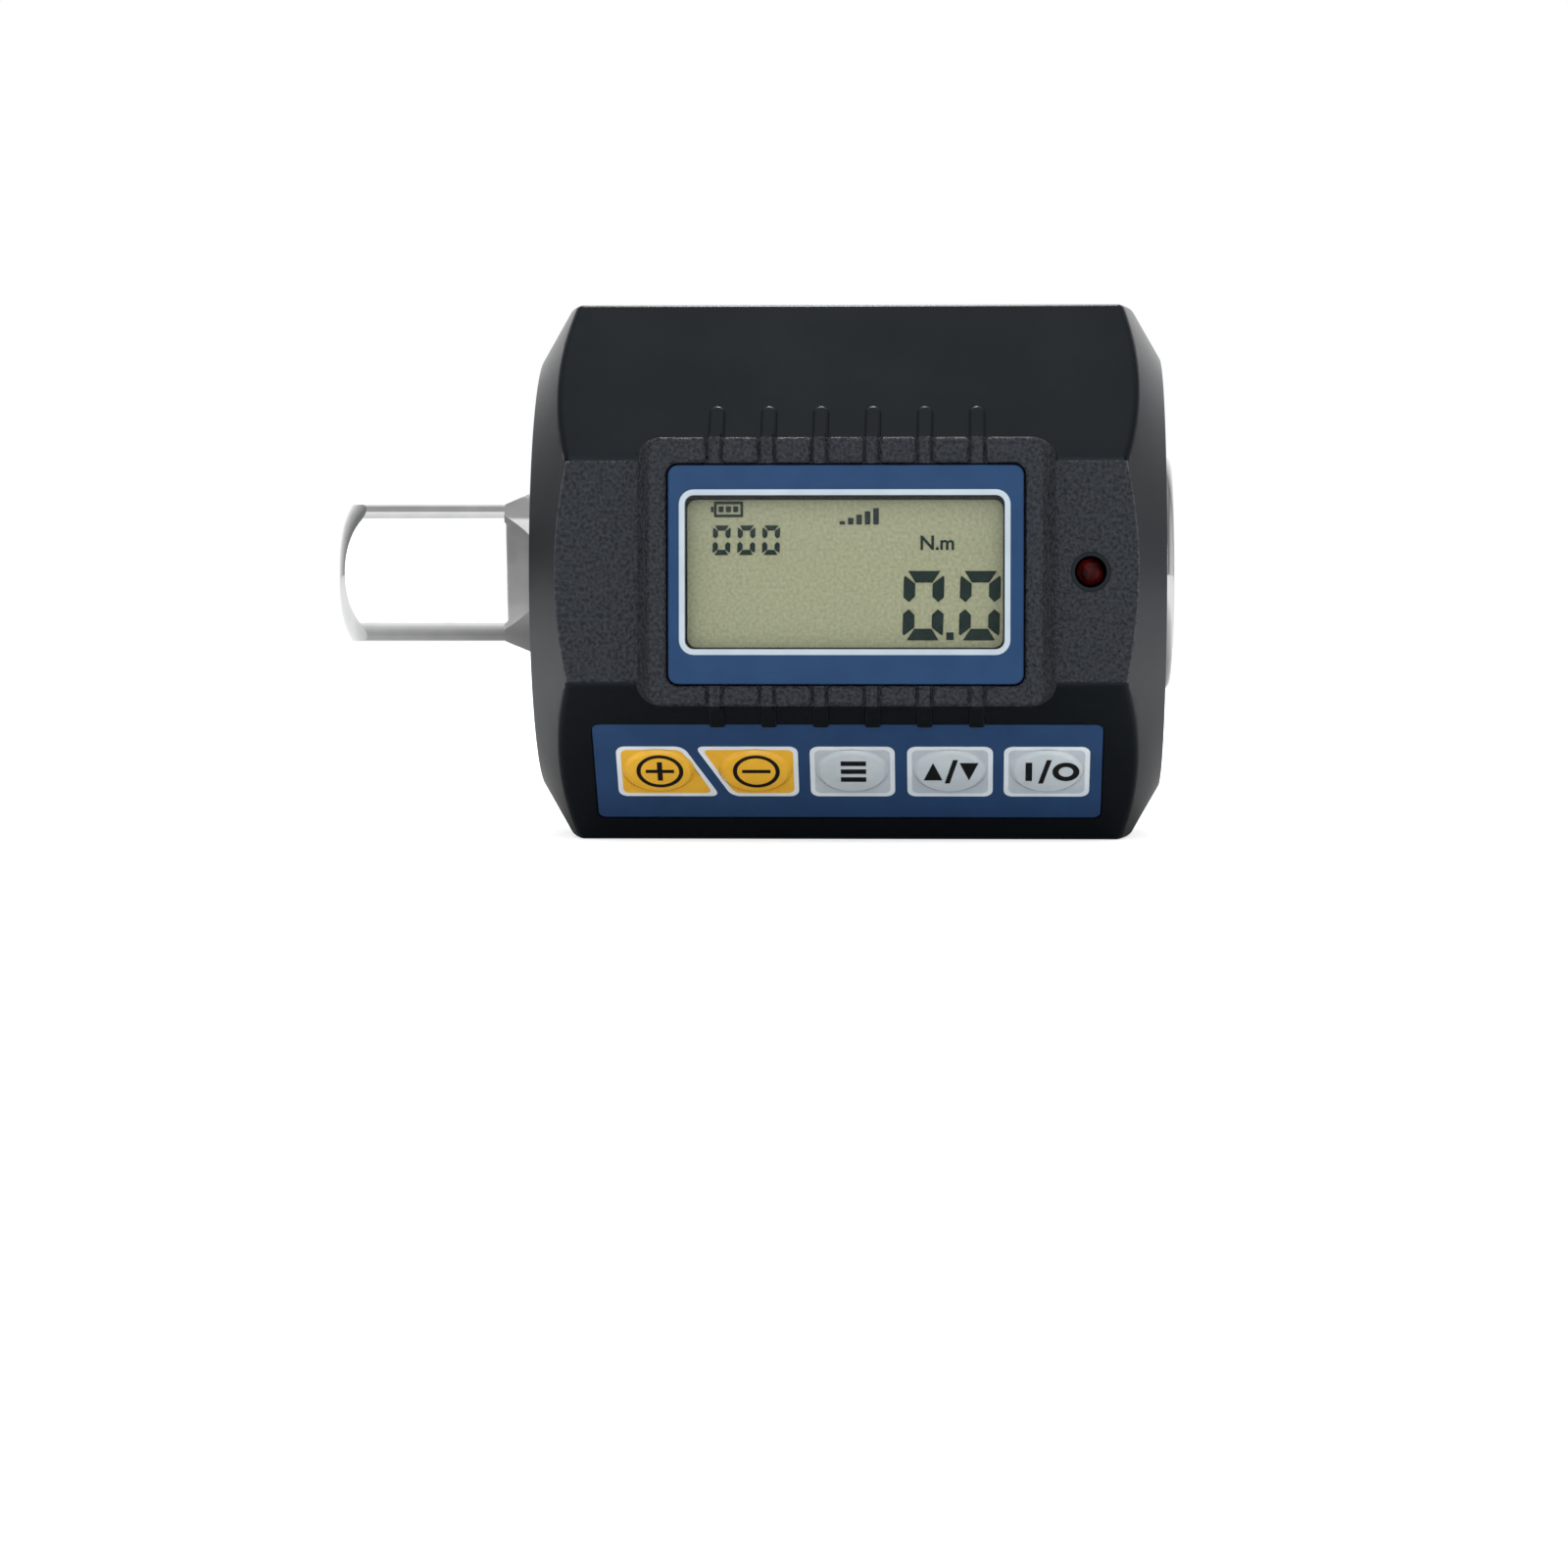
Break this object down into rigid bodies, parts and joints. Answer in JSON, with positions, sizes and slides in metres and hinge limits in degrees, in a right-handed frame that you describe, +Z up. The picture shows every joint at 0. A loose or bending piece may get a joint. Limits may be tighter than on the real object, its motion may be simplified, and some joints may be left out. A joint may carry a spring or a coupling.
{
  "type": "digital torque adapter",
  "caption": "In-line electronic torque adapter: octagonal housing with display and keypad, square male drive on one end and square female drive in the other.",
  "frame": {"origin": "on the drive axis, centre of the female square's mouth in the hub's end face", "axes": "+X along the drive axis, out of the female square (the male square points to -X); the display faces -Y; +Z up"},
  "size_m": [0.0776, 0.051, 0.049],
  "materials": {
    "drive_steel": "polished chrome-vanadium steel",
    "spring_steel": "hardened steel",
    "housing": "moulded, satin facets and a fine texture on the raised fields",
    "screws": "blackened steel",
    "bushes": "acetal",
    "gauge_film": "polyimide film",
    "lens": "acrylic with a printed blue border",
    "lcd": "liquid-crystal glass",
    "diffuser": "milky",
    "contact_rubber": "layered conductive rubber",
    "board": "solder mask on glass-fibre laminate",
    "chip": "moulded epoxy",
    "connector": "nylon",
    "lamp": "clear red epoxy",
    "overlay": "printed polyester film",
    "yellow_key": "printed polyester film",
    "white_key": "printed polyester film",
    "contact_metal": "nickel-plated spring steel",
    "cell_jacket": "printed sleeve over steel",
    "cable": "flat cable jacket",
    "red_wire": "silicone insulation",
    "black_wire": "silicone insulation"
  },
  "bodies": {
    "casing": {"torque_shaft": "drive_steel", "detent_spring": "spring_steel", "front_shell": "housing", "rear_shell": "housing", "shell_screws": "screws", "male_end_bush": "bushes", "female_end_bush": "bushes", "front_strain_gauge": "gauge_film", "rear_strain_gauge": "gauge_film", "gauge_flex": "gauge_film", "display_lens": "lens", "lcd_panel": "lcd", "backlight_diffuser": "diffuser", "lcd_contact_strips": "contact_rubber", "main_board": "board", "board_screws": "screws", "controller_chip": "chip", "gauge_amplifier_chip": "chip", "buzzer": "chip", "gauge_connector": "connector", "alarm_lamp": "lamp", "keypad_overlay": "overlay", "keypad_board": "board", "snap_domes": "contact_metal", "keypad_screws": "screws", "keypad_cable": "cable", "lower_cell": "cell_jacket", "upper_cell": "cell_jacket", "cell_strap": "contact_metal", "plus_contact": "contact_metal", "minus_contact": "contact_metal", "plus_lead": "red_wire", "minus_lead": "black_wire"},
    "detent_ball": {"detent_ball": "spring_steel"},
    "battery_door": {"battery_door": "housing"},
    "key_plus": {"key_plus": "yellow_key"},
    "key_minus": {"key_minus": "yellow_key"},
    "key_menu": {"key_menu": "white_key"},
    "key_units": {"key_units": "white_key"},
    "key_power": {"key_power": "white_key"}
  },
  "joints": [
    {"name": "key_plus_press", "type": "slide", "parent": "casing", "child": "key_plus", "axis": [0, 0.7071, 0.7071], "range_m": [0, 0.0004], "stiffness_N_per_m": 800},
    {"name": "key_minus_press", "type": "slide", "parent": "casing", "child": "key_minus", "axis": [0, 0.7071, 0.7071], "range_m": [0, 0.0004], "stiffness_N_per_m": 800},
    {"name": "key_menu_press", "type": "slide", "parent": "casing", "child": "key_menu", "axis": [0, 0.7071, 0.7071], "range_m": [0, 0.0004], "stiffness_N_per_m": 800},
    {"name": "key_units_press", "type": "slide", "parent": "casing", "child": "key_units", "axis": [0, 0.7071, 0.7071], "range_m": [0, 0.0004], "stiffness_N_per_m": 800},
    {"name": "key_power_press", "type": "slide", "parent": "casing", "child": "key_power", "axis": [0, 0.7071, 0.7071], "range_m": [0, 0.0004], "stiffness_N_per_m": 800},
    {"name": "detent_ball_press", "type": "slide", "parent": "casing", "child": "detent_ball", "axis": [0, -1, 0], "range_m": [0, 0.0009], "stiffness_N_per_m": 1500, "springref_m": -0.0008, "deforming": ["detent_spring"]},
    {"name": "battery_door_slide", "type": "slide", "parent": "casing", "child": "battery_door", "axis": [-1, 0, 0], "range_m": [0, 0.05]}
  ]
}
